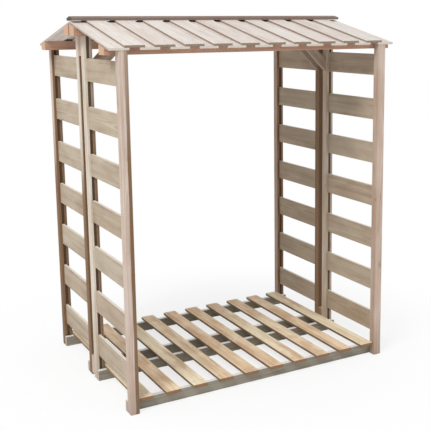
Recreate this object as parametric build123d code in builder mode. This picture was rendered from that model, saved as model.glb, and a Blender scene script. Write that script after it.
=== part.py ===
from build123d import *
from math import cos, radians, tan
import os

# Double log store: two open timber frames back to back under one low pitched roof.
# Millimetres. X runs along the ridge, Y from the front side to the rear side, Z is up from the ground.

# Overall plan
FRAME_LENGTH = 1640
ROOF_LENGTH = 1740
UNIT_DEPTH = 580
UNIT_GAP = 39

# Posts
POST_WIDTH = 50
POST_DEPTH = 47
MIDDLE_POST_HEIGHT = 1966

# Side boards, whose ends stand in a groove down the middle of each post
SIDE_BOARD_COUNT = 7
SIDE_BOARD_HEIGHT = 124
SIDE_BOARD_THICKNESS = 18
SIDE_BOARD_PITCH = 263
LOWEST_SIDE_BOARD = 142
GROOVE_DEPTH = 10

# Floor
BEARER_THICKNESS = 29
BEARER_HEIGHT = 60
SLAT_COUNT = 10
SLAT_WIDTH = 85
SLAT_THICKNESS = 17
SLAT_SETBACK = 15

# Roof
ROOF_PITCH = 12.3
ROOF_BOARD_WIDTH = 108
ROOF_BOARD_THICKNESS = 12
UNDER_BOARD_COUNT = 11
EAVE_REACH = 602
RIDGE_UNDERSIDE = 2032
BEAM_DEPTH = 78
PURLIN_BOTTOM = 1877
RIDGE_BEAM_INSET = 10
BEAM_OVERHANG = 55
CAP_WIDTH = 46
CAP_THICKNESS = 14

# Braces and the blocks that tie the two frames together
BRACE_WIDTH = 53
BRACE_THICKNESS = 25
BRACE_OUTER_LEG = 245
BLOCK_HEIGHT = 110
LOWER_BLOCK_BOTTOM = 14

# Eased edges
POST_EASE = 3
BOARD_EASE = 1.5

HALF_FRAME = FRAME_LENGTH / 2
HALF_ROOF = ROOF_LENGTH / 2
HALF_GAP = UNIT_GAP / 2
HALF_DEPTH = HALF_GAP + UNIT_DEPTH
INNER_POST_FACE = HALF_FRAME - POST_WIDTH
SIDE_LINE = HALF_FRAME - POST_WIDTH / 2
SLOPE = tan(radians(ROOF_PITCH))
BOARD_DROP = ROOF_BOARD_THICKNESS / cos(radians(ROOF_PITCH))
CAP_DROP = CAP_THICKNESS / cos(radians(ROOF_PITCH))
ROOF_BOARD_PERIOD = (ROOF_LENGTH - ROOF_BOARD_WIDTH) / (UNDER_BOARD_COUNT - 1)

FRONT = -1
REAR = 1
LEFT = -1
RIGHT = 1


def underside(y):
    """Height of the roof boards' underside at a distance y from the ridge."""
    return RIDGE_UNDERSIDE - SLOPE * abs(y)


def slope_axis(side):
    """Direction from the eave up to the ridge on one slope."""
    return Axis((0, 0, 0), (0, -side, SLOPE))


def save(builder, name):
    """Label a finished piece and write its STEP file."""
    builder.part.label = name
    export_step(builder.part, "parts/" + name + ".step")


def make_boxes(name, boxes, axis=None, easing=BOARD_EASE):
    """A piece made of separate square timbers, each given by its X, Y and Z ranges."""
    with BuildPart() as piece:
        for x_range, y_range, z_range in boxes:
            with BuildSketch(Plane.XY.offset(z_range[0])):
                with Locations((sum(x_range) / 2, sum(y_range) / 2)):
                    Rectangle(x_range[1] - x_range[0], y_range[1] - y_range[0])
            extrude(amount=z_range[1] - z_range[0])
        if axis is not None:
            chamfer(piece.edges().filter_by(axis), length=easing)
    save(piece, name)


def make_bars(name, starts, length, outline, axis=None, easing=BOARD_EASE):
    """A piece made of equal bars along X, all with one closed outline in the YZ plane."""
    with BuildPart() as piece:
        for start in starts:
            with BuildSketch(Plane.YZ.offset(start)):
                with BuildLine():
                    Polyline(*outline, close=True)
                make_face()
            extrude(amount=length)
        if axis is not None:
            chamfer(piece.edges().filter_by(axis), length=easing)
    save(piece, name)


def make_post(name, end, outline, groove_y):
    """A post with eased edges and a full-length groove, given by its outline in the YZ plane."""
    with BuildPart() as post:
        with BuildSketch(Plane.YZ.offset(end * SIDE_LINE - POST_WIDTH / 2)):
            with BuildLine():
                Polyline(*outline, close=True)
            make_face()
        extrude(amount=POST_WIDTH)
        chamfer(post.edges().filter_by(Axis.Z), length=POST_EASE)
        with BuildSketch():
            with Locations((end * SIDE_LINE, groove_y)):
                Rectangle(SIDE_BOARD_THICKNESS, GROOVE_DEPTH)
        extrude(amount=RIDGE_UNDERSIDE, mode=Mode.SUBTRACT)
    save(post, name)


def build_eave_post(name, end, side):
    """A post under the eave; its head is cut to the roof pitch."""
    outer = side * HALF_DEPTH
    inner = side * (HALF_DEPTH - POST_DEPTH)
    outline = [(outer, 0), (inner, 0), (inner, underside(inner)), (outer, underside(outer))]
    make_post(name, end, outline, inner + side * GROOVE_DEPTH / 2)


def build_middle_post(name, end, side):
    """A post in the middle of the store that carries a ridge beam on its head."""
    near = side * HALF_GAP
    far = side * (HALF_GAP + POST_DEPTH)
    outline = [(near, 0), (far, 0), (far, MIDDLE_POST_HEIGHT), (near, MIDDLE_POST_HEIGHT)]
    make_post(name, end, outline, far - side * GROOVE_DEPTH / 2)


def build_side_boards(name, end, side):
    """Seven boards with their ends in the grooves of the two posts of one side."""
    x_range = (end * SIDE_LINE - SIDE_BOARD_THICKNESS / 2, end * SIDE_LINE + SIDE_BOARD_THICKNESS / 2)
    near = side * (HALF_GAP + POST_DEPTH - GROOVE_DEPTH)
    far = side * (HALF_DEPTH - POST_DEPTH + GROOVE_DEPTH)
    bottoms = [LOWEST_SIDE_BOARD + index * SIDE_BOARD_PITCH for index in range(SIDE_BOARD_COUNT)]
    boxes = [(x_range, sorted((near, far)), (bottom, bottom + SIDE_BOARD_HEIGHT)) for bottom in bottoms]
    make_boxes(name, boxes, Axis.Y)


def build_bearer(name, near_face, side):
    """A floor bearer on edge, against the inner faces of two posts."""
    y_range = sorted((near_face, near_face + side * BEARER_THICKNESS))
    make_boxes(name, [((-HALF_FRAME, HALF_FRAME), y_range, (0, BEARER_HEIGHT))], Axis.X)


def build_floor_slat(name, index):
    """One floor slat that runs from the front frame to the rear frame over the bearers."""
    period = (2 * INNER_POST_FACE - SLAT_WIDTH) / (SLAT_COUNT - 1)
    start = -INNER_POST_FACE + index * period
    reach = HALF_DEPTH - SLAT_SETBACK
    z_range = (BEARER_HEIGHT, BEARER_HEIGHT + SLAT_THICKNESS)
    make_boxes(name, [((start, start + SLAT_WIDTH), (-reach, reach), z_range)], Axis.Y)


def build_beam(name, outer, inner, bottom):
    """A beam along the store whose top is planed to the roof pitch."""
    outline = [(outer, bottom), (inner, bottom), (inner, underside(inner)), (outer, underside(outer))]
    make_bars(name, [-HALF_FRAME - BEAM_OVERHANG], FRAME_LENGTH + 2 * BEAM_OVERHANG, outline)


def build_brace(name, end, side):
    """A brace at 45 degrees from a middle post up to its ridge beam."""
    corner = end * INNER_POST_FACE
    inner_leg = BRACE_OUTER_LEG - BRACE_WIDTH * 2**0.5
    top = MIDDLE_POST_HEIGHT
    middle = side * (HALF_GAP + POST_DEPTH / 2)
    outline = [
        (corner, top - BRACE_OUTER_LEG),
        (corner - end * BRACE_OUTER_LEG, top),
        (corner - end * inner_leg, top),
        (corner, top - inner_leg),
    ]
    with BuildPart() as brace:
        with BuildSketch(Plane.XZ.offset(-middle)):
            with BuildLine():
                Polyline(*outline, close=True)
            make_face()
        extrude(amount=BRACE_THICKNESS / 2, both=True)
    save(brace, name)


def build_block(name, end, bottom):
    """A block between two middle posts that ties the two frames together."""
    x_range = sorted((end * HALF_FRAME, end * INNER_POST_FACE))
    make_boxes(name, [(x_range, (-HALF_GAP, HALF_GAP), (bottom, bottom + BLOCK_HEIGHT))])


def slope_outline(side, reach, lift, drop):
    """Section of a layer on one slope, from the ridge out to its square-cut lower end."""
    low = reach * side
    run = drop * SLOPE / (1 + SLOPE**2)
    base = underside(low) + lift
    return [
        (0, RIDGE_UNDERSIDE + lift),
        (low, base),
        (low + side * run, base + drop / (1 + SLOPE**2)),
        (0, RIDGE_UNDERSIDE + lift + drop),
    ]


def build_roof_boards(name, side, over):
    """One layer of roof boards on one slope: the under boards, or the over boards."""
    count = UNDER_BOARD_COUNT - 1 if over else UNDER_BOARD_COUNT
    shift = ROOF_BOARD_PERIOD / 2 if over else 0
    lift = BOARD_DROP if over else 0
    starts = [-HALF_ROOF + shift + index * ROOF_BOARD_PERIOD for index in range(count)]
    outline = slope_outline(side, EAVE_REACH, lift, BOARD_DROP)
    make_bars(name, starts, ROOF_BOARD_WIDTH, outline, slope_axis(side))


def build_ridge_board(name, side):
    """One of the two capping boards, mitred together along the ridge."""
    outline = slope_outline(side, CAP_WIDTH, 2 * BOARD_DROP, CAP_DROP)
    make_bars(name, [-HALF_ROOF], ROOF_LENGTH, outline)


os.makedirs("parts", exist_ok=True)

for end, end_name in ((LEFT, "left"), (RIGHT, "right")):
    for side, side_name in ((FRONT, "front"), (REAR, "rear")):
        corner_name = side_name + "_" + end_name
        build_eave_post("eave_post_" + corner_name, end, side)
        build_middle_post("middle_post_" + corner_name, end, side)
        build_side_boards("side_boards_" + corner_name, end, side)
        build_brace("brace_" + corner_name, end, side)
    build_block("upper_block_" + end_name, end, MIDDLE_POST_HEIGHT - BLOCK_HEIGHT)
    build_block("lower_block_" + end_name, end, LOWER_BLOCK_BOTTOM)

for side, side_name in ((FRONT, "front"), (REAR, "rear")):
    build_bearer("outer_bearer_" + side_name, side * (HALF_DEPTH - POST_DEPTH), -side)
    build_bearer("inner_bearer_" + side_name, side * (HALF_GAP + POST_DEPTH), side)
    purlin_face = side * (HALF_DEPTH - POST_DEPTH)
    build_beam("eave_purlin_" + side_name, purlin_face, purlin_face - side * BEAM_DEPTH, PURLIN_BOTTOM)
    beam_face = side * RIDGE_BEAM_INSET
    build_beam("ridge_beam_" + side_name, beam_face + side * BEAM_DEPTH, beam_face, MIDDLE_POST_HEIGHT)
    build_roof_boards("roof_under_boards_" + side_name, side, False)
    build_roof_boards("roof_over_boards_" + side_name, side, True)
    build_ridge_board("ridge_board_" + side_name, side)

for slat_index in range(SLAT_COUNT):
    build_floor_slat("floor_slat_" + str(slat_index + 1), slat_index)
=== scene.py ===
"""Looks of a double log store: two open timber frames back to back under one pitched board roof.

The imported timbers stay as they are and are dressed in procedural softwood. The heads of nails and
screws are added over them. Metres, X along the ridge, Y from the front side to the rear side, Z up.
"""

import logging
import math
from dataclasses import dataclass
from enum import Enum

import bmesh
import bpy
from mathutils import Matrix, Vector


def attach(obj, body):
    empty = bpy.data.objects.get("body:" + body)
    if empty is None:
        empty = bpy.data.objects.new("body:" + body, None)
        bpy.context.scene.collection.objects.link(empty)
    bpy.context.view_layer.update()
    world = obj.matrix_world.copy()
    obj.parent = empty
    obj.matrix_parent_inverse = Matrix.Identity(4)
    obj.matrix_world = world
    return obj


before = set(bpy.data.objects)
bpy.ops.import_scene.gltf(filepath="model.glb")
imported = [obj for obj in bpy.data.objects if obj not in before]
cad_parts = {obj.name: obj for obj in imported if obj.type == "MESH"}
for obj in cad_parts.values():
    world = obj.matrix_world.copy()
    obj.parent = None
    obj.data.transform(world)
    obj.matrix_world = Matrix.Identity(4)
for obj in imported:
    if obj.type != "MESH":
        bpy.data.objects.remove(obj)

log = logging.getLogger("log_store")

Triple = tuple[float, float, float]
Colour = tuple[float, float, float, float]
HeadPlace = tuple[Triple, float, float]

ROOF_PITCH = math.radians(12.3)
RIDGE_UNDERSIDE = 2.032
BOARD_DROP = 0.012 / math.cos(ROOF_PITCH)
CAP_DROP = 0.014 / math.cos(ROOF_PITCH)

# Distance from the middle of the store to the middle line of the posts and side boards at each end.
SIDE_LINE = 0.795

# Spacing on an axis along which a family has one timber only. It is longer than the store.
ALONE = 8.0


def shade(red: int, green: int, blue: int) -> Colour:
    """Turn a colour as it is seen on a screen into linear light.

    Args:
        red: Red, from 0 to 255.
        green: Green, from 0 to 255.
        blue: Blue, from 0 to 255.

    Returns:
        The linear colour with full opacity.
    """
    linear = []
    for level in (red, green, blue):
        share = level / 255
        linear.append(share / 12.92 if share <= 0.04045 else ((share + 0.055) / 1.055) ** 2.4)
    return (linear[0], linear[1], linear[2], 1.0)


def roof_height(y: float) -> float:
    """Give the height of the roof boards' underside.

    Args:
        y: Distance from the ridge.

    Returns:
        The height above the ground.
    """
    return RIDGE_UNDERSIDE - math.tan(ROOF_PITCH) * abs(y)


class Num:
    """A node socket that adds Math nodes when it is used in an expression."""

    def __init__(self, bench: "Bench", socket: bpy.types.NodeSocket) -> None:
        """Wrap one output socket."""
        self.bench = bench
        self.socket = socket

    def __add__(self, other: "Num | float") -> "Num":
        """Add."""
        return self.bench.math("ADD", self, other)

    def __radd__(self, other: float) -> "Num":
        """Add to a plain number."""
        return self.bench.math("ADD", other, self)

    def __sub__(self, other: "Num | float") -> "Num":
        """Subtract."""
        return self.bench.math("SUBTRACT", self, other)

    def __rsub__(self, other: float) -> "Num":
        """Subtract from a plain number."""
        return self.bench.math("SUBTRACT", other, self)

    def __mul__(self, other: "Num | float") -> "Num":
        """Multiply."""
        return self.bench.math("MULTIPLY", self, other)

    def __rmul__(self, other: float) -> "Num":
        """Multiply a plain number."""
        return self.bench.math("MULTIPLY", other, self)

    def __truediv__(self, other: "Num | float") -> "Num":
        """Divide."""
        return self.bench.math("DIVIDE", self, other)

    def __rtruediv__(self, other: float) -> "Num":
        """Divide a plain number."""
        return self.bench.math("DIVIDE", other, self)

    def size(self) -> "Num":
        """Leave out the sign."""
        return self.bench.math("ABSOLUTE", self)

    def fraction(self) -> "Num":
        """Keep what follows the decimal point."""
        return self.bench.math("FRACT", self)

    def root(self) -> "Num":
        """Take the square root."""
        return self.bench.math("SQRT", self)

    def over(self, level: float) -> "Num":
        """Give 1 above a level and 0 below it."""
        return self.bench.math("GREATER_THAN", self, level)

    def ease(self, low: float, high: float) -> "Num":
        """Rise smoothly from 0 to 1 between two levels.

        Args:
            low: Level that gives 0.
            high: Level that gives 1.

        Returns:
            The eased value.
        """
        settings = {"interpolation_type": "SMOOTHSTEP"}
        inputs = {"Value": self, "From Min": low, "From Max": high}
        return self.bench.add("ShaderNodeMapRange", settings, inputs)["Result"]


class Made:
    """A node that has just been added, whose outputs are read by name."""

    def __init__(self, bench: "Bench", node: bpy.types.Node) -> None:
        """Keep the node with the bench it stands on."""
        self.bench = bench
        self.node = node

    def __getitem__(self, key: "int | str") -> Num:
        """Wrap one output."""
        return Num(self.bench, find_socket(self.node.outputs, key))


def find_socket(sockets: bpy.types.bpy_prop_collection, key: "int | str") -> bpy.types.NodeSocket:
    """Find a socket by number, identifier or name.

    Args:
        sockets: Inputs or outputs of a node.
        key: Its number, identifier or name.

    Returns:
        The socket.
    """
    if isinstance(key, int):
        return sockets[key]
    for socket in sockets:
        if socket.identifier == key:
            return socket
    return sockets[key]


class Bench:
    """The node tree of one material or of the surroundings, on which its nodes are laid out."""

    def __init__(self, holder: bpy.types.Material | bpy.types.World) -> None:
        """Clear the node tree.

        Args:
            holder: The material or world that owns the tree.
        """
        self.holder = holder
        self.holder.use_nodes = True
        self.tree = self.holder.node_tree
        self.tree.nodes.clear()

    def add(self, kind: str, settings: dict | None = None, inputs: dict | None = None) -> Made:
        """Add a node, set its options, then fill its sockets.

        Args:
            kind: Type of the node.
            settings: Options by name.
            inputs: Values or links by socket.

        Returns:
            The node.
        """
        node = self.tree.nodes.new(kind)
        for option, value in (settings or {}).items():
            setattr(node, option, value)
        for key, value in (inputs or {}).items():
            socket = find_socket(node.inputs, key)
            if isinstance(value, Num):
                self.tree.links.new(value.socket, socket)
            else:
                socket.default_value = value
        return Made(self, node)

    def math(self, operation: str, *values: "Num | float") -> Num:
        """Add a Math node."""
        return self.add("ShaderNodeMath", {"operation": operation}, dict(enumerate(values)))["Value"]

    def vector(self, operation: str, *values: "Num | Triple") -> Num:
        """Add a Vector Math node whose result is a vector."""
        inputs = dict(enumerate(values))
        return self.add("ShaderNodeVectorMath", {"operation": operation}, inputs)["Vector"]

    def dot(self, value: Num, direction: Triple) -> Num:
        """Measure a vector along a direction."""
        inputs = {0: value, 1: direction}
        return self.add("ShaderNodeVectorMath", {"operation": "DOT_PRODUCT"}, inputs)["Value"]

    def pack(self, x: "Num | float", y: "Num | float", z: "Num | float") -> Num:
        """Join three numbers into a vector."""
        return self.add("ShaderNodeCombineXYZ", None, {0: x, 1: y, 2: z})["Vector"]

    def noise(self, place: Num, detail: float = 2.0, roughness: float = 0.5) -> Num:
        """Add cloudy noise at scale 1."""
        inputs = {"Vector": place, "Scale": 1.0, "Detail": detail, "Roughness": roughness}
        return self.add("ShaderNodeTexNoise", None, inputs)["Fac"]

    def blend(self, share: "Num | float", first: "Num | Colour", second: "Num | Colour") -> Num:
        """Mix two colours.

        Args:
            share: Share of the second colour.
            first: Colour at 0.
            second: Colour at 1.

        Returns:
            The mixed colour.
        """
        inputs = {"Factor_Float": share, "A_Color": first, "B_Color": second}
        return self.add("ShaderNodeMix", {"data_type": "RGBA"}, inputs)["Result_Color"]

    def split(self, value: Num) -> Made:
        """Part a vector or colour into its three numbers."""
        return self.add("ShaderNodeSeparateXYZ", None, {0: value})

    def finish(
        self,
        colour: Num,
        roughness: Num,
        height: Num,
        depth: float,
        settings: dict | None = None,
    ) -> bpy.types.Material:
        """Close the tree with a Principled shader and a bump.

        Args:
            colour: Base colour.
            roughness: Roughness.
            height: Relief from 0 to 1.
            depth: Depth of the relief in metres.
            settings: Plain values of other shader sockets.

        Returns:
            The finished material.
        """
        relief = {"Strength": 0.6, "Distance": depth, "Height": height}
        bump = self.add("ShaderNodeBump", None, relief)["Normal"]
        inputs = {"Base Color": colour, "Roughness": roughness, "Normal": bump}
        inputs.update(settings or {})
        shader = self.add("ShaderNodeBsdfPrincipled", None, inputs)["BSDF"]
        self.add("ShaderNodeOutputMaterial", None, {"Surface": shader})
        return self.holder


class Lay(Enum):
    """How a timber lies: the direction of its grain and of its width."""

    POST = ((0.0, 0.0, 1.0), (1.0, 0.0, 0.0))
    SIDE_BOARD = ((0.0, 1.0, 0.0), (0.0, 0.0, 1.0))
    FLOOR_SLAT = ((0.0, 1.0, 0.0), (1.0, 0.0, 0.0))
    BEARER = ((1.0, 0.0, 0.0), (0.0, 0.0, 1.0))
    BEAM = ((1.0, 0.0, 0.0), (0.0, 1.0, 0.0))
    FRONT_SLOPE = ((0.0, math.cos(ROOF_PITCH), math.sin(ROOF_PITCH)), (1.0, 0.0, 0.0))
    REAR_SLOPE = ((0.0, math.cos(ROOF_PITCH), -math.sin(ROOF_PITCH)), (1.0, 0.0, 0.0))
    FRONT_CAP = ((1.0, 0.0, 0.0), (0.0, math.cos(ROOF_PITCH), math.sin(ROOF_PITCH)))
    REAR_CAP = ((1.0, 0.0, 0.0), (0.0, math.cos(ROOF_PITCH), -math.sin(ROOF_PITCH)))
    LEFT_BRACE = ((math.sqrt(0.5), 0.0, math.sqrt(0.5)), (math.sqrt(0.5), 0.0, -math.sqrt(0.5)))
    RIGHT_BRACE = ((-math.sqrt(0.5), 0.0, math.sqrt(0.5)), (math.sqrt(0.5), 0.0, math.sqrt(0.5)))


KNOT_CORE = shade(132, 84, 56)
KNOT_RIM = shade(96, 62, 42)
CRACK = shade(70, 50, 38)
HEART_AND_SHADE_BROWN = shade(122, 92, 64)
INSIDE_PAINTED_SHADE = shade(120, 96, 72)
GROOVE_PAINTED_SHADE = shade(84, 62, 44)
DAMP_SHADE = shade(122, 110, 94)

RING_WIDTH = 0.0052
END_RING_WIDTH = 0.0040
WOOD_RELIEF = 0.0007


def late_wood(radius: Num, width: float) -> Num:
    """Darken the outer part of every year ring.

    Args:
        radius: Distance from the heart of the tree.
        width: Width of a ring.

    Returns:
        Late wood, from 0 to 1.
    """
    phase = (radius / width).fraction()
    return phase.ease(0.15, 0.82) - phase.ease(0.86, 1.0)


@dataclass(frozen=True)
class Spot:
    """Where a point lies on its timber, and the chances that the timber has drawn.

    Attributes:
        place: Place in the store.
        facing: Direction the surface looks in.
        along: Distance along the grain, with a start of the timber's own.
        wide: Distance across the width, from the middle.
        deep: Distance through the thickness, from the middle.
        tone: Chance that sets how warm the timber is.
        picks: Three more chances.
    """

    place: Num
    facing: Num
    along: Num
    wide: Num
    deep: Num
    tone: Num
    picks: Made


@dataclass(frozen=True)
class Figure:
    """The figure of the wood at a point, each part of it from 0 to 1.

    Attributes:
        knot_core: Inside of a knot.
        knot_rim: Dark rim of a knot.
        rings: Late wood on the long faces.
        end_rings: Late wood on the cut ends.
        fibre: Fine fibres.
        streaks: Broad streaks along the grain.
        clouds: Soft patches.
        cracks: Drying cracks.
        cut: Cut ends.
    """

    knot_core: Num
    knot_rim: Num
    rings: Num
    end_rings: Num
    fibre: Num
    streaks: Num
    clouds: Num
    cracks: Num
    cut: Num


@dataclass(frozen=True)
class Timber:
    """Planed softwood of one family of timbers.

    Attributes:
        name: Name of the material.
        lay: Direction of the grain and of the width.
        first: Middle of the first timber of the family.
        pitch: Distance from one timber to the next on each axis.
        pale: Colour of the lighter wood.
        warm: Colour of the warmer timbers.
        dark: Colour of the late wood and streaks.
        edge_tone_and_lighting: Colour of the long edges: painted highlight on the side boards and
            bearers, painted shade on the floor slats and roof boards, the ridge boards' own tone.
        end: Colour of the end grain, darkened as painted shade on the floor slats and over boards.
        edge_tone_and_lighting_share: How far the long edges take that colour.
        streak: Strength of the broad streaks.
        mottle: Strength of the darker patches.
        spread: How much the timbers differ from each other.
        knots: Share of the places for a knot that have one.
        checks: Strength of the drying cracks.
        grime: Strength of the damp stain near the ground.
        inner_shade_share: How far painted shade darkens the faces that look into the store.
        grooved: Whether painted shade darkens the groove of a post.
        heart_and_painted_shade: Whether some faces are painted brown, as on the posts, partly for the
            heart of the tree and partly as painted shade.
        heart_and_shade_line: Where the brown strip on the left posts, heart and painted shade, begins
            along the store.
        heart_and_shade_right: Share of brown heart and painted shade on the right posts' faces that
            look away from the ridge.
        heart_and_shade_rear: Share of brown heart and painted shade on the rear posts' sides that look
            into the store.
    """

    name: str
    lay: Lay
    first: Triple
    pitch: Triple
    pale: Colour
    warm: Colour
    dark: Colour
    edge_tone_and_lighting: Colour
    end: Colour = shade(214, 180, 148)
    edge_tone_and_lighting_share: float = 0.0
    streak: float = 0.45
    mottle: float = 0.25
    spread: float = 0.6
    knots: float = 0.08
    checks: float = 0.35
    grime: float = 0.0
    inner_shade_share: float = 0.0
    grooved: bool = False
    heart_and_painted_shade: bool = False
    heart_and_shade_line: float = -0.794
    heart_and_shade_right: float = 0.0
    heart_and_shade_rear: float = 0.0

    def material(self) -> bpy.types.Material:
        """Build the wood.

        Returns:
            The material.
        """
        bench = Bench(bpy.data.materials.new(self.name))
        spot = self._spot(bench)
        figure = self._figure(bench, spot)
        colour = self._planed_colour(bench, spot, figure)
        colour = self._face_colour(bench, spot, figure, colour)
        colour = self._heart_shade_and_damp_colour(bench, spot, figure, colour)
        roughness = 0.62 + figure.fibre * 0.16 + figure.knot_core * -0.12 + figure.cut * 0.12
        height = figure.fibre * 0.55 + figure.rings * 0.30 + figure.streaks * 0.15
        height = height - figure.cracks * self.checks - figure.knot_rim * 0.25
        return bench.finish(colour, roughness, height, WOOD_RELIEF, {"Specular IOR Level": 0.3})

    def _spot(self, bench: Bench) -> Spot:
        """Find which timber a point is on, where on it, and what chances that timber has drawn.

        Args:
            bench: Where the nodes stand.

        Returns:
            The point.
        """
        coordinates = bench.add("ShaderNodeTexCoord")
        place = coordinates["Object"]
        grain, across = self.lay.value
        through = tuple(Vector(grain).cross(Vector(across)))
        corner = tuple(middle - step / 2 for middle, step in zip(self.first, self.pitch))
        steps = bench.vector("DIVIDE", bench.vector("SUBTRACT", place, corner), self.pitch)
        number = bench.vector("FLOOR", steps)
        middle = bench.vector("MULTIPLY_ADD", number, self.pitch, self.first)
        local = bench.vector("SUBTRACT", place, middle)
        key = bench.vector("ADD", number, (0.31, 0.57, 0.83))
        chance = bench.add("ShaderNodeTexWhiteNoise", None, {"Vector": key})
        picks = bench.split(chance["Color"])
        return Spot(
            place=place,
            facing=coordinates["Normal"],
            along=bench.dot(local, grain) + picks[0] * 23.0,
            wide=bench.dot(local, across),
            deep=bench.dot(local, through),
            tone=chance["Value"],
            picks=picks,
        )

    def _figure(self, bench: Bench, spot: Spot) -> Figure:
        """Draw the figure of the wood.

        Args:
            bench: Where the nodes stand.
            spot: The point on the timber.

        Returns:
            The figure.
        """
        along, wide, deep = spot.along, spot.wide, spot.deep
        knot_core, knot_rim, bulge = self._knots(bench, spot)
        fibre_place = bench.pack(along * 12.0, wide * 900.0, deep * 900.0)
        streak_place = bench.pack(along * 1.1, wide * 34.0 + spot.tone * 7.0, deep * 34.0)
        cloud_place = bench.pack(along * 4.5, wide * 9.0, deep * 9.0 + spot.tone * 5.0)
        return Figure(
            knot_core=knot_core,
            knot_rim=knot_rim,
            rings=self._rings(bench, spot, bulge),
            end_rings=self._end_rings(bench, spot),
            fibre=bench.noise(fibre_place, 2.0, 0.6),
            streaks=bench.noise(streak_place, 3.0, 0.6),
            clouds=bench.noise(cloud_place, 3.0, 0.55),
            cracks=self._cracks(bench, spot),
            cut=bench.dot(spot.facing, self.lay.value[0]).size().ease(0.75, 0.95),
        )

    def _planed_colour(self, bench: Bench, spot: Spot, figure: Figure) -> Num:
        """Colour the planed wood.

        Args:
            bench: Where the nodes stand.
            spot: The point on the timber.
            figure: The figure of the wood.

        Returns:
            The colour.
        """
        colour = bench.blend((spot.tone - 0.5) * self.spread + 0.5, self.pale, self.warm)
        colour = bench.blend(figure.streaks.ease(0.42, 0.72) * self.streak, colour, self.dark)
        colour = bench.blend(figure.clouds.ease(0.46, 0.70) * self.mottle, colour, self.dark)
        colour = bench.blend((1.0 - figure.clouds).ease(0.48, 0.68) * 0.5, colour, self.pale)
        colour = bench.blend(figure.rings * 0.34, colour, self.dark)
        colour = bench.blend((figure.fibre - 0.5).size() * 0.55, colour, self.dark)
        colour = bench.blend(figure.knot_rim * 0.75, colour, KNOT_RIM)
        colour = bench.blend(figure.knot_core * 0.85, colour, KNOT_CORE)
        return bench.blend(figure.cracks * self.checks, colour, CRACK)

    def _face_colour(self, bench: Bench, spot: Spot, figure: Figure, colour: Num) -> Num:
        """Give the long edges and the cut ends their colour, partly painted highlight and shade, and
        paint shade on the faces that look into the store.

        Args:
            bench: Where the nodes stand.
            spot: The point on the timber.
            figure: The figure of the wood.
            colour: Colour of the planed wood.

        Returns:
            The colour.
        """
        # Long edges: painted highlight on some timbers, painted shade on others, own tone on the ridge
        # boards.
        side_on = bench.dot(spot.facing, self.lay.value[1]).size().ease(0.75, 0.95)
        edge_tone_and_lighting_share = self.edge_tone_and_lighting_share * 0.75 + 0.25 * self.edge_tone_and_lighting_share * figure.streaks
        colour = bench.blend(side_on * edge_tone_and_lighting_share, colour, self.edge_tone_and_lighting)
        # Cut ends: end grain, with painted shade on the floor slats and over boards.
        end_colour = bench.blend(figure.end_rings * 0.55, self.end, self.dark)
        colour = bench.blend(figure.cut, colour, end_colour)
        if not self.inner_shade_share:
            return colour
        # Painted shade on the faces that look into the store, towards the middle lines.
        outward = bench.dot(bench.vector("MULTIPLY", spot.facing, spot.place), (1.0, 1.0, 0.0))
        inside = 1.0 - outward.ease(-0.015, 0.0)
        share = inside * self.inner_shade_share * (0.75 + figure.streaks * 0.5)
        return bench.blend(share, colour, INSIDE_PAINTED_SHADE)

    def _heart_shade_and_damp_colour(self, bench: Bench, spot: Spot, figure: Figure, colour: Num) -> Num:
        """Add the brown heart and painted shade on the posts, the painted shade in the groove and the
        damp stain near the ground.

        Args:
            bench: Where the nodes stand.
            spot: The point on the timber.
            figure: The figure of the wood.
            colour: Colour of the timber's faces.

        Returns:
            The colour.
        """
        # Brown on the posts: partly the heart of the tree, partly painted shade on faces that stand in
        # shade.
        if self.heart_and_painted_shade:
            colour = bench.blend(self._heart_and_painted_shade(bench, spot, figure), colour, HEART_AND_SHADE_BROWN)
        # Painted shade inside the groove of the post.
        if self.grooved:
            in_width = 1.0 - spot.wide.size().ease(0.0092, 0.0098)
            in_depth = 1.0 - spot.deep.size().ease(0.0205, 0.0225)
            colour = bench.blend(in_width * in_depth * 0.8, colour, GROOVE_PAINTED_SHADE)
        if self.grime:
            height = bench.dot(spot.place, (0.0, 0.0, 1.0))
            damp = 1.0 - (height + (figure.clouds - 0.5) * 0.16).ease(0.0, 0.22)
            colour = bench.blend(damp * self.grime, colour, DAMP_SHADE)
        return colour

    def _heart_and_painted_shade(self, bench: Bench, spot: Spot, figure: Figure) -> Num:
        """Find where the posts are painted brown, partly for the heart of the tree and partly as
        painted shade.

        It covers the faces that look towards the ridge, where shade falls inside the store, and the
        lower half of the rear posts' outer sides. On the faces that look away from the ridge it covers
        a strip along the inner arris of the left posts, a shaded arris, and a share of the right posts,
        which stand in shade.
        It also covers a share of the rear posts' sides that look into the store, as painted shade.

        Args:
            bench: Where the nodes stand.
            spot: The point on the post.
            figure: The figure of the wood, whose clouds and streaks move the borders.

        Returns:
            Brown heart and painted shade, from 0 to 1.
        """
        axes = bench.split(spot.place)
        normal = bench.split(spot.facing)
        sideways = normal[0].size().ease(0.6, 0.8)
        lengthways = normal[1].size().ease(0.6, 0.8)
        outer_side = (normal[0] * axes[0]).over(0.0)
        away = (normal[1] * axes[1]).over(0.0)
        rear = axes[1].over(0.0)
        right = axes[0].over(0.0)
        low = 1.0 - (axes[2] + (figure.clouds - 0.5) * 0.4).ease(1.05, 1.45)
        border = axes[0] + (figure.clouds - 0.5) * 0.012 + (figure.streaks - 0.5) * 0.006
        strip = border.ease(self.heart_and_shade_line, self.heart_and_shade_line + 0.006) * (1.0 - right)
        strip = strip * (1.0 - axes[2].ease(1.3, 2.0) * 0.45)
        across_share = away * (strip + right * self.heart_and_shade_right) + (1.0 - away)
        end_share = outer_side * rear * low + (1.0 - outer_side) * rear * self.heart_and_shade_rear
        return (lengthways * across_share + sideways * end_share) * (0.82 + figure.streaks * 0.3)

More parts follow.
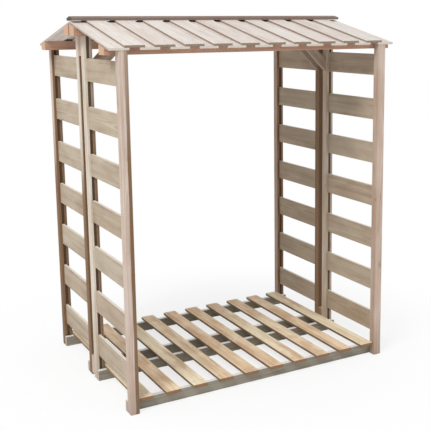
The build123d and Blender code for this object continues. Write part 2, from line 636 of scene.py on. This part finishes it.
    def _knots(self, bench: Bench, spot: Spot) -> tuple[Num, Num, Num]:
        """Scatter knots over the faces of the timber.

        Args:
            bench: Where the nodes stand.
            spot: The point on the timber.

        Returns:
            The knot's core, its dark rim, and how far it pushes the rings aside.
        """
        lengthwise_cells = 2.4
        crosswise_cells = 9.0
        smallest = 0.0045
        growth = 0.0060
        around = spot.wide + spot.deep
        row = around * crosswise_cells + spot.picks[1] * 31.0
        cell = bench.pack(spot.along * lengthwise_cells, row, 0.0)
        cells = bench.add(
            "ShaderNodeTexVoronoi",
            {"voronoi_dimensions": "2D"},
            {"Vector": cell, "Scale": 1.0, "Randomness": 0.9},
        )
        centre = bench.split(cells["Position"])
        kind = bench.split(cells["Color"])
        apart = (spot.along * lengthwise_cells - centre[0]) / lengthwise_cells
        aside = (row - centre[1]) / crosswise_cells
        wobble = bench.noise(bench.pack(spot.along * 60.0, around * 60.0, spot.picks[1]), 1.0)
        radius = smallest + kind[1] * growth
        distance = (apart * apart * 0.62 + aside * aside).root() / radius + (wobble - 0.5) * 0.5
        present = 1.0 - kind[0].over(self.knots)
        core = (1.0 - distance.ease(0.65, 1.0)) * present
        rim = (1.0 - (distance - 1.0).size().ease(0.0, 0.38)) * present
        bulge = (1.0 - distance.ease(0.2, 4.2)) * present
        return core, rim, bulge

    def _rings(self, bench: Bench, spot: Spot, bulge: Num) -> Num:
        """Draw the year rings as the saw opens them along the timber.

        Args:
            bench: Where the nodes stand.
            spot: The point on the timber.
            bulge: How far a knot pushes the rings aside.

        Returns:
            Late wood, from 0 to 1.
        """
        sway = bench.noise(bench.pack(spot.along * 1.3, spot.wide * 5.0, spot.deep * 5.0), 2.0)
        drift = bench.noise(bench.pack(spot.along * 0.8, spot.picks[1] * 9.0, spot.picks[2] * 9.0), 1.0)
        off_middle = spot.wide + (spot.picks[1] - 0.5) * 0.12 + (drift - 0.5) * 0.05
        off_heart = spot.deep + 0.016 + spot.picks[2] * 0.05
        radius = (off_middle * off_middle + off_heart * off_heart).root()
        radius = radius + (sway - 0.5) * 0.026 + bulge * 0.007
        return late_wood(radius + spot.along * 0.003, RING_WIDTH)

    def _end_rings(self, bench: Bench, spot: Spot) -> Num:
        """Draw the year rings on the cut ends.

        Args:
            bench: Where the nodes stand.
            spot: The point on the timber.

        Returns:
            Late wood, from 0 to 1.
        """
        off_middle = spot.wide + (spot.picks[1] - 0.5) * 0.06
        off_heart = spot.deep + 0.012 + spot.picks[2] * 0.05
        wobble = bench.noise(bench.pack(spot.wide * 40.0, spot.deep * 40.0, spot.picks[0]), 1.0)
        radius = (off_middle * off_middle + off_heart * off_heart).root()
        return late_wood(radius + wobble * 0.003, END_RING_WIDTH)

    def _cracks(self, bench: Bench, spot: Spot) -> Num:
        """Draw fine drying cracks along the grain.

        Args:
            bench: Where the nodes stand.
            spot: The point on the timber.

        Returns:
            Crack, from 0 to 1.
        """
        line = bench.noise(bench.pack(spot.along * 0.9, spot.wide * 24.0, spot.deep * 24.0), 1.0)
        where = bench.noise(bench.pack(spot.along * 2.2 + 5.0, spot.wide * 9.0, spot.deep * 9.0), 1.0)
        return (1.0 - (line - 0.5).size().ease(0.0, 0.011)) * where.ease(0.5, 0.66)


@dataclass(frozen=True)
class Zinc:
    """Dull zinc coat of the nails and screws.

    Attributes:
        name: Name of the material.
        bright: Colour of the clean coat.
        dull: Colour of the oxidised coat.
    """

    name: str
    bright: Colour
    dull: Colour

    def material(self) -> bpy.types.Material:
        """Build the metal.

        Returns:
            The material.
        """
        bench = Bench(bpy.data.materials.new(self.name))
        place = bench.add("ShaderNodeTexCoord")["Object"]
        spangle = bench.noise(bench.vector("MULTIPLY", place, (700.0, 700.0, 700.0)), 3.0)
        heads = bench.noise(bench.vector("MULTIPLY", place, (9.0, 9.0, 9.0)), 2.0)
        colour = bench.blend(spangle.ease(0.35, 0.7), self.bright, self.dull)
        colour = bench.blend(heads.ease(0.5, 0.75) * 0.5, colour, self.dull)
        return bench.finish(colour, 0.38 + spangle * 0.3, spangle, 0.0001, {"Metallic": 0.85})


TAUPE = {
    "pale": shade(197, 185, 165),
    "warm": shade(182, 162, 139),
    "dark": shade(138, 116, 92),
    # Light top and bottom faces of the side boards: painted highlight where the tops catch the light.
    "edge_tone_and_lighting": shade(234, 226, 212),
}
PINKISH = {
    "pale": shade(212, 197, 186),
    "warm": shade(196, 172, 155),
    "dark": shade(158, 126, 100),
    "edge_tone_and_lighting": shade(210, 196, 184),
}
CREAM = {
    "pale": shade(224, 217, 204),
    "warm": shade(212, 196, 180),
    "dark": shade(164, 142, 112),
    "edge_tone_and_lighting": shade(214, 206, 190),
}
HONEY = {
    "pale": shade(250, 241, 210),
    "warm": shade(240, 214, 180),
    "dark": shade(186, 146, 108),
    # Dark long sides of the slats: painted shade, with a darker stain on the sawn sides.
    "edge_tone_and_lighting": shade(98, 68, 48),
    # Dark slat ends: painted shade.
    "end": shade(122, 88, 66),
}
GREY_GREEN = {
    "pale": shade(156, 151, 138),
    "warm": shade(146, 136, 120),
    "dark": shade(108, 100, 86),
    # Light top and bottom faces of the bearers: painted highlight where the tops catch the light.
    "edge_tone_and_lighting": shade(240, 238, 232),
    "end": shade(198, 180, 164),
}
WHITEWOOD = {
    "pale": shade(226, 221, 214),
    "warm": shade(218, 206, 199),
    "dark": shade(184, 168, 154),
    # Dark long sides of the roof boards: painted shade of the gaps between them.
    "edge_tone_and_lighting": shade(132, 106, 88),
}
GREY_BROWN = {
    "pale": shade(136, 117, 106),
    "warm": shade(126, 104, 94),
    "dark": shade(102, 82, 72),
    "edge_tone_and_lighting": shade(142, 120, 109),
    "end": shade(84, 74, 66),
}
RUSSET = {
    "pale": shade(196, 160, 136),
    "warm": shade(184, 140, 116),
    "dark": shade(142, 98, 76),
    "edge_tone_and_lighting": shade(176, 138, 116),
    "end": shade(214, 178, 148),
}
FAWN = {
    "pale": shade(186, 170, 152),
    "warm": shade(168, 148, 128),
    "dark": shade(126, 104, 84),
    "edge_tone_and_lighting": shade(152, 134, 118),
}


def dress(names: list[str], finish: Timber) -> None:
    """Give packed timbers their wood.

    Args:
        names: Names of the timbers.
        finish: The wood.
    """
    material = finish.material()
    for name in names:
        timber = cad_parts[name]
        timber.data.materials.clear()
        timber.data.materials.append(material)
        log.info("%s: %s", name, finish.name)


def stray(reach: float, seed: float) -> float:
    """Give how far a fixing driven by hand sits off its line.

    Args:
        reach: The furthest that it strays.
        seed: A number that differs from fixing to fixing.

    Returns:
        The distance, to either side.
    """
    return reach * math.sin(seed)


def deselect_all() -> None:
    """Leave edit mode and select nothing."""
    if bpy.context.object and bpy.context.object.mode != "OBJECT":
        bpy.ops.object.mode_set(mode="OBJECT")
    bpy.ops.object.select_all(action="DESELECT")


def pick_flat_top(shape: bpy.types.Object) -> None:
    """Select the highest face that looks up, or the smallest of those that are equally high.

    Args:
        shape: The object, in edit mode.
    """
    mesh = bmesh.from_edit_mesh(shape.data)
    for face in mesh.faces:
        face.select = False
    upward = [face for face in mesh.faces if face.normal.z > 0.9]
    top = max(upward, key=lambda face: (round(face.calc_center_median().z, 6), -face.calc_area()))
    top.select = True
    mesh.select_flush(True)
    bmesh.update_edit_mesh(shape.data)


@dataclass(frozen=True)
class Fixing:
    """The head of a nail or screw, with a short length of its shank in the wood.

    Attributes:
        diameter: Width of the head.
        rise: How far the head stands proud of the wood.
        driver: Width of the driver recess, or 0 for a nail.
        seat: How deep the head and shank go in.
        sides: Number of sides of the head.
    """

    diameter: float
    rise: float
    driver: float = 0.0
    seat: float = 0.0012
    sides: int = 14

    def model(self) -> bpy.types.Object:
        """Model one head at the origin, with the wood's surface at height 0.

        Returns:
            The head.
        """
        deselect_all()
        bpy.ops.mesh.primitive_cylinder_add(
            vertices=self.sides,
            radius=self.diameter / 2,
            depth=self.seat + self.rise * 0.5,
            location=(0.0, 0.0, (self.rise * 0.5 - self.seat) / 2),
        )
        head = bpy.context.object
        bpy.ops.object.transform_apply(location=True, rotation=True, scale=True)
        bpy.ops.object.mode_set(mode="EDIT")
        bpy.ops.mesh.select_mode(type="FACE")
        pick_flat_top(head)
        step = self.diameter * 0.12
        bpy.ops.mesh.inset(thickness=step, depth=self.rise * 0.35)
        bpy.ops.mesh.inset(thickness=step, depth=self.rise * 0.15)
        if self.driver:
            spare = self.diameter / 2 - 2 * step - self.driver / 2
            floor = -self.rise - 0.0008
            bpy.ops.mesh.inset(thickness=max(spare, self.diameter * 0.03), depth=0.0)
            bpy.ops.mesh.extrude_region_move(TRANSFORM_OT_translate={"value": (0.0, 0.0, floor)})
            bpy.ops.transform.resize(value=(0.55, 0.55, 1.0))
        bpy.ops.object.mode_set(mode="OBJECT")
        bpy.ops.object.shade_smooth_by_angle(angle=math.radians(35))
        return head

    def drive(self, name: str, places: list[HeadPlace], finish: bpy.types.Material) -> None:
        """Copy the head to every place and join the copies into one piece.

        Args:
            name: Name of the piece.
            places: Place of each head, with its turn about X and about Y.
            finish: Material of the heads.
        """
        pattern = self.model()
        pattern.data.materials.append(finish)
        copies = []
        for index, (place, about_x, about_y) in enumerate(places):
            copy = pattern.copy()
            copy.data = pattern.data.copy()
            bpy.context.scene.collection.objects.link(copy)
            spin = Matrix.Rotation(index * 2.399, 4, "Z")
            turn = Matrix.Rotation(about_y, 4, "Y") @ Matrix.Rotation(about_x, 4, "X")
            copy.matrix_world = Matrix.Translation(place) @ turn @ spin
            copies.append(copy)
        bpy.data.objects.remove(pattern)
        deselect_all()
        for copy in copies:
            copy.select_set(True)
        bpy.context.view_layer.objects.active = copies[0]
        bpy.ops.object.join()
        piece = bpy.context.object
        bpy.ops.object.transform_apply(location=True, rotation=True, scale=True)
        piece.name = name
        piece.data.name = name
        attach(piece, "root")
        log.info("%s: %d heads", name, len(places))


SCREW = Fixing(diameter=0.0070, rise=0.0005, driver=0.0028)
NAIL = Fixing(diameter=0.0055, rise=0.0006)

SIDES = ("front", "rear")
ENDS = ("left", "right")
CORNERS = tuple(f"{side}_{end}" for side in SIDES for end in ENDS)


@dataclass
class Posts:
    """The eight posts of the two frames and the blocks between the middle ones."""

    eave_line: float = 0.576
    middle_line: float = 0.043
    post_level: float = 1.0
    lower_block_level: float = 0.069
    block_rise: float = 1.842

    def build(self) -> None:
        """Dress the posts and blocks."""
        eave = Timber(
            "eave_post_wood",
            Lay.POST,
            (-SIDE_LINE, -self.eave_line, self.post_level),
            (2 * SIDE_LINE, 2 * self.eave_line, ALONE),
            **PINKISH,
            grime=0.3,
            knots=0.0,
            checks=0.5,
            inner_shade_share=0.2,
            grooved=True,
            heart_and_painted_shade=True,
            heart_and_shade_rear=0.2,
        )
        dress([f"eave_post_{corner}" for corner in CORNERS], eave)
        middle = Timber(
            "middle_post_wood",
            Lay.POST,
            (-SIDE_LINE, -self.middle_line, self.post_level),
            (2 * SIDE_LINE, 2 * self.middle_line, ALONE),
            **CREAM,
            grime=0.3,
            knots=0.0,
            checks=0.5,
            inner_shade_share=0.2,
            grooved=True,
            heart_and_painted_shade=True,
            heart_and_shade_line=-0.806,
            heart_and_shade_right=0.4,
            heart_and_shade_rear=0.95,
        )
        dress([f"middle_post_{corner}" for corner in CORNERS], middle)
        block = Timber(
            "block_wood",
            Lay.POST,
            (-SIDE_LINE, 0.0, self.lower_block_level),
            (2 * SIDE_LINE, ALONE, self.block_rise),
            **PINKISH,
            knots=0.0,
            inner_shade_share=0.8,
        )
        dress([f"{level}_block_{end}" for level in ("upper", "lower") for end in ENDS], block)


@dataclass
class SideBoards:
    """The boards that close the two ends of each frame."""

    middle_line: float = 0.3095
    lowest: float = 0.204
    period: float = 0.263

    def build(self) -> None:
        """Dress the boards."""
        wood = Timber(
            "side_board_wood",
            Lay.SIDE_BOARD,
            (-SIDE_LINE, -self.middle_line, self.lowest),
            (2 * SIDE_LINE, 2 * self.middle_line, self.period),
            **TAUPE,
            edge_tone_and_lighting_share=0.85,
            inner_shade_share=0.16,
        )
        dress([f"side_boards_{corner}" for corner in CORNERS], wood)


@dataclass
class Floor:
    """Ten slats on four bearers."""

    slat_count: int = 10
    first_slat: float = -0.7275
    slat_period: float = 1.455 / 9
    slat_level: float = 0.0685
    slat_top: float = 0.077
    outer_line: float = 0.538
    inner_line: float = 0.081
    bearer_level: float = 0.03
    screw_offset: float = 0.024
    screw_stray: float = 0.003

    def build(self, zinc: bpy.types.Material) -> None:
        """Dress the slats and bearers and drive the screws.

        Args:
            zinc: Material of the screws.
        """
        slats = Timber(
            "floor_slat_wood",
            Lay.FLOOR_SLAT,
            (self.first_slat, 0.0, self.slat_level),
            (self.slat_period, ALONE, ALONE),
            **HONEY,
            edge_tone_and_lighting_share=0.95,
            streak=0.6,
            mottle=0.5,
            spread=0.8,
        )
        dress([f"floor_slat_{index + 1}" for index in range(self.slat_count)], slats)
        for reach, line in (("outer", self.outer_line), ("inner", self.inner_line)):
            bearer = Timber(
                f"{reach}_bearer_wood",
                Lay.BEARER,
                (0.0, -line, self.bearer_level),
                (ALONE, 2 * line, ALONE),
                **GREY_GREEN,
                edge_tone_and_lighting_share=0.95,
            )
            dress([f"{reach}_bearer_{side}" for side in SIDES], bearer)
        SCREW.drive("slat_screws", self._screw_places(), zinc)

    def _screw_places(self) -> list[HeadPlace]:
        """Place two screws wherever a slat crosses a bearer.

        Returns:
            The places.
        """
        places = []
        lines = (-self.outer_line, -self.inner_line, self.inner_line, self.outer_line)
        for index in range(self.slat_count):
            middle = self.first_slat + index * self.slat_period
            for line in lines:
                for hand in (-1, 1):
                    off = stray(self.screw_stray, index * 5.1 + line * 17.0 + hand)
                    x = middle + hand * self.screw_offset + off
                    places.append(((x, line + off, self.slat_top), 0.0, 0.0))
        return places


@dataclass
class Roof:
    """Beams, two layers of boards on each slope, and the ridge boards."""

    first_under: float = -0.816
    first_over: float = -0.7344
    period: float = 0.1632
    under_count: int = 11
    over_count: int = 10
    slope_middle: float = 0.3
    cap_middle: float = 0.023
    purlin_line: float = 0.5135
    purlin_level: float = 1.905
    ridge_beam_line: float = 0.049
    ridge_beam_level: float = 1.995
    ridge_nail_line: float = 0.066
    nail_offset: float = 0.036
    over_nail_stray: float = 0.003
    under_nail_stray: float = 0.004
    cap_nail_count: int = 7
    first_cap_nail: float = -0.81
    cap_nail_period: float = 0.27
    cap_nail_line: float = 0.024

    def build(self, zinc: bpy.types.Material) -> None:
        """Dress the roof and drive its nails.

        Args:
            zinc: Material of the nails.
        """
        self._dress_slope("front", Lay.FRONT_SLOPE, Lay.FRONT_CAP)
        self._dress_slope("rear", Lay.REAR_SLOPE, Lay.REAR_CAP)
        self._dress_beams()
        NAIL.drive("roof_nails", self._nail_places(), zinc)

    def _dress_slope(self, side: str, lay: Lay, cap_lay: Lay) -> None:
        """Give the boards of one slope and its ridge board their wood.

        Args:
            side: Name of the slope.
            lay: How the roof boards lie.
            cap_lay: How the ridge board lies.
        """
        height = roof_height(self.slope_middle)
        pitch = (self.period, 2 * self.slope_middle, ALONE)
        under = Timber(
            f"under_board_wood_{side}",
            lay,
            (self.first_under, -self.slope_middle, height + BOARD_DROP / 2),
            pitch,
            **WHITEWOOD,
            end=shade(220, 210, 196),
            edge_tone_and_lighting_share=0.5,
        )
        dress([f"roof_under_boards_{side}"], under)
        over = Timber(
            f"over_board_wood_{side}",
            lay,
            (self.first_over, -self.slope_middle, height + BOARD_DROP * 1.5),
            pitch,
            **WHITEWOOD,
            # Dark ends of the over boards at the eaves: painted shade.
            end=shade(128, 110, 88),
            edge_tone_and_lighting_share=0.9,
            streak=0.3,
        )
        dress([f"roof_over_boards_{side}"], over)
        cap_level = roof_height(self.cap_middle) + 2 * BOARD_DROP + CAP_DROP / 2
        cap = Timber(
            f"ridge_board_wood_{side}",
            cap_lay,
            (0.0, -self.cap_middle, cap_level),
            (ALONE, 2 * self.cap_middle, ALONE),
            **GREY_BROWN,
            edge_tone_and_lighting_share=0.8,
        )
        dress([f"ridge_board_{side}"], cap)

    def _dress_beams(self) -> None:
        """Give the purlins and ridge beams their wood."""
        purlin = Timber(
            "purlin_wood",
            Lay.BEAM,
            (0.0, -self.purlin_line, self.purlin_level),
            (ALONE, 2 * self.purlin_line, ALONE),
            **RUSSET,
        )
        dress([f"eave_purlin_{side}" for side in SIDES], purlin)
        ridge = Timber(
            "ridge_beam_wood",
            Lay.BEAM,
            (0.0, -self.ridge_beam_line, self.ridge_beam_level),
            (ALONE, 2 * self.ridge_beam_line, ALONE),
            **RUSSET,
        )
        dress([f"ridge_beam_{side}" for side in SIDES], ridge)

    def _nail_places(self) -> list[HeadPlace]:
        """Place nails where the boards cross the beams, and along the ridge boards.

        Returns:
            The places.
        """
        places = []
        for side in (-1, 1):
            for line in (self.ridge_nail_line, self.purlin_line):
                places += self._over_nails(side, line)
                places += self._under_nails(side, line)
            for index in range(self.cap_nail_count):
                x = self.first_cap_nail + index * self.cap_nail_period
                places.append(self._nail(x, side * self.cap_nail_line, 2 * BOARD_DROP + CAP_DROP))
        return places

    def _over_nails(self, side: int, line: float) -> list[HeadPlace]:
        """Place two nails in each over board.

        Args:
            side: -1 for the front slope, 1 for the rear slope.
            line: Distance of the nails from the ridge.

        Returns:
            The places.
        """
        places = []
        for index in range(self.over_count):
            middle = self.first_over + index * self.period
            for hand in (-1, 1):
                off = stray(self.over_nail_stray, index * 3.7 + line * 29.0 + hand * 2.0 + side)
                x = middle + hand * self.nail_offset + off
                places.append(self._nail(x, side * (line + off), 2 * BOARD_DROP))
        return places

    def _under_nails(self, side: int, line: float) -> list[HeadPlace]:
        """Place one nail in each under board.

        Args:
            side: -1 for the front slope, 1 for the rear slope.
            line: Distance of the nails from the ridge.

        Returns:
            The places.
        """
        places = []
        for index in range(self.under_count):
            off = stray(self.under_nail_stray, index * 2.3 + line * 11.0 + side)
            x = self.first_under + index * self.period + off
            places.append(self._nail(x, side * (line + off), BOARD_DROP))
        return places

    def _nail(self, x: float, y: float, lift: float) -> HeadPlace:
        """Place one nail square to its slope.

        Args:
            x: Place along the ridge.
            y: Place across the store, negative on the front slope.
            lift: Height of the nailed surface over the boards' underside.

        Returns:
            The place.
        """
        return ((x, y, roof_height(y) + lift), -math.copysign(ROOF_PITCH, y), 0.0)


@dataclass
class Braces:
    """The four braces between the middle posts and the ridge beams."""

    corner: float = 0.770
    top: float = 1.966
    outer_leg: float = 0.245
    line: float = 0.043
    middle: float = 0.67
    level: float = 1.865
    screw_shares: tuple[float, float] = (0.2, 0.8)

    def build(self, zinc: bpy.types.Material) -> None:
        """Dress the braces and drive a screw near each end.

        Args:
            zinc: Material of the screws.
        """
        for end, hand, lay in (("left", -1, Lay.LEFT_BRACE), ("right", 1, Lay.RIGHT_BRACE)):
            wood = Timber(
                f"brace_wood_{end}",
                lay,
                (hand * self.middle, -self.line, self.level),
                (ALONE, 2 * self.line, ALONE),
                **FAWN,
            )
            dress([f"brace_{side}_{end}" for side in SIDES], wood)
        SCREW.drive("brace_screws", self._screw_places(), zinc)

    def _screw_places(self) -> list[HeadPlace]:
        """Place a screw near each end of every brace, in its lower face.

        Returns:
            The places.
        """
        places = []
        for hand in (-1, 1):
            for side in (-1, 1):
                for share in self.screw_shares:
                    x = hand * (self.corner - self.outer_leg * share)
                    z = self.top - self.outer_leg * (1 - share)
                    places.append(((x, side * self.line, z), 0.0, math.radians(-135 * hand)))
        return places


WHITE = (1.0, 1.0, 1.0, 1.0)
PALE_FLOOR = (0.9, 0.9, 0.9, 1.0)


@dataclass(frozen=True)
class Lamp:
    """One soft square lamp that points at the middle of the store.

    Attributes:
        name: Name of the lamp.
        place: Where it hangs.
        width: Width of its face.
        power: Its power in watts.
    """

    name: str
    place: Triple
    width: float
    power: float

    def hang(self, target: Vector) -> None:
        """Hang the lamp.

        Args:
            target: The point it is turned to.
        """
        data = bpy.data.lights.new(self.name, "AREA")
        data.shape = "SQUARE"
        data.size = self.width
        data.energy = self.power
        lamp = bpy.data.objects.new(self.name, data)
        lamp.location = self.place
        lamp.rotation_euler = (target - Vector(self.place)).to_track_quat("-Z", "Y").to_euler()
        bpy.context.scene.collection.objects.link(lamp)


@dataclass
class Studio:
    """Pale floor, soft lamps, white surroundings and the camera."""

    floor_radius: float = 9.0
    sky: Colour = (0.95, 0.97, 1.0, 1.0)
    sky_strength: float = 0.66
    lens: float = 70.218
    shift: tuple[float, float] = (-0.12, -0.11)
    eye: Triple = (-2.26682, -4.52044, 2.02903)
    heading: float = 0.52643
    tilt: float = -0.17114
    roll: float = -0.00647
    lamps: tuple[Lamp, ...] = (
        Lamp("key_lamp", (-6.8, -4.3, 9.6), 4.0, 820.0),
        Lamp("fill_lamp", (3.2, -5.2, 2.4), 3.0, 30.0),
    )

    def build(self) -> None:
        """Set up the studio."""
        self._lay_floor()
        self._surround()
        for lamp in self.lamps:
            lamp.hang(Vector((0.0, 0.0, 1.0)))
        self._place_camera()
        bpy.context.scene.view_settings.view_transform = "Standard"

    def _lay_floor(self) -> None:
        """Lay a plain pale floor that fades into the white surroundings."""
        deselect_all()
        bpy.ops.mesh.primitive_circle_add(
            vertices=64,
            radius=self.floor_radius,
            fill_type="NGON",
            location=(0.0, 0.0, 0.0),
        )
        floor = bpy.context.object
        floor.name = "studio_floor"
        bench = Bench(bpy.data.materials.new("studio_floor"))
        place = bench.add("ShaderNodeTexCoord")["Object"]
        away = bench.add("ShaderNodeVectorMath", {"operation": "LENGTH"}, {0: place})["Value"]
        seen = bench.add("ShaderNodeLightPath")["Is Camera Ray"]
        plain = bench.add("ShaderNodeBsdfDiffuse", None, {"Color": PALE_FLOOR})["BSDF"]
        white = bench.add("ShaderNodeEmission", None, {"Color": WHITE, "Strength": 1.0})["Emission"]
        share = seen * (away.ease(0.6, 2.0) * 0.28 + 0.72)
        mixed = bench.add("ShaderNodeMixShader", None, {0: share, 1: plain, 2: white})["Shader"]
        bench.add("ShaderNodeOutputMaterial", None, {"Surface": mixed})
        floor.data.materials.append(bench.holder)

    def _surround(self) -> None:
        """Make the surroundings white to the eye and a soft grey light for the wood."""
        world = bpy.data.worlds.new("studio_surroundings")
        bpy.context.scene.world = world
        bench = Bench(world)
        path = bench.add("ShaderNodeLightPath")
        seen = bench.math("MAXIMUM", path["Is Camera Ray"], path["Is Glossy Ray"])
        seen = bench.math("MAXIMUM", seen, path["Is Transmission Ray"])
        light = {"Color": self.sky, "Strength": self.sky_strength}
        soft = bench.add("ShaderNodeBackground", None, light)[0]
        white = bench.add("ShaderNodeBackground", None, {"Color": WHITE, "Strength": 1.0})[0]
        mixed = bench.add("ShaderNodeMixShader", None, {0: seen, 1: soft, 2: white})["Shader"]
        bench.add("ShaderNodeOutputWorld", None, {"Surface": mixed})

    def _place_camera(self) -> None:
        """Put the camera where the store is seen from its front left."""
        forward = Vector((
            math.sin(self.heading) * math.cos(self.tilt),
            math.cos(self.heading) * math.cos(self.tilt),
            math.sin(self.tilt),
        ))
        level = Vector((math.cos(self.heading), -math.sin(self.heading), 0.0))
        upright = level.cross(forward)
        right = level * math.cos(self.roll) + upright * math.sin(self.roll)
        up = upright * math.cos(self.roll) - level * math.sin(self.roll)
        data = bpy.data.cameras.new("camera")
        data.sensor_width = 36.0
        data.lens = self.lens
        data.shift_x, data.shift_y = self.shift
        camera = bpy.data.objects.new("camera", data)
        turn = Matrix((right, up, -forward)).transposed()
        camera.matrix_world = Matrix.Translation(self.eye) @ turn.to_4x4()
        bpy.context.scene.collection.objects.link(camera)
        bpy.context.scene.camera = camera


def main() -> None:
    """Dress the store and set up the studio."""
    logging.basicConfig(level=logging.INFO, format="%(name)s: %(message)s")
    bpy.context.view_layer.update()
    zinc = Zinc("zinc_coat", shade(176, 176, 172), shade(120, 118, 114)).material()
    Posts().build()
    SideBoards().build()
    Floor().build(zinc)
    Roof().build(zinc)
    Braces().build(zinc)
    Studio().build()


if __name__ == "__main__":
    main()
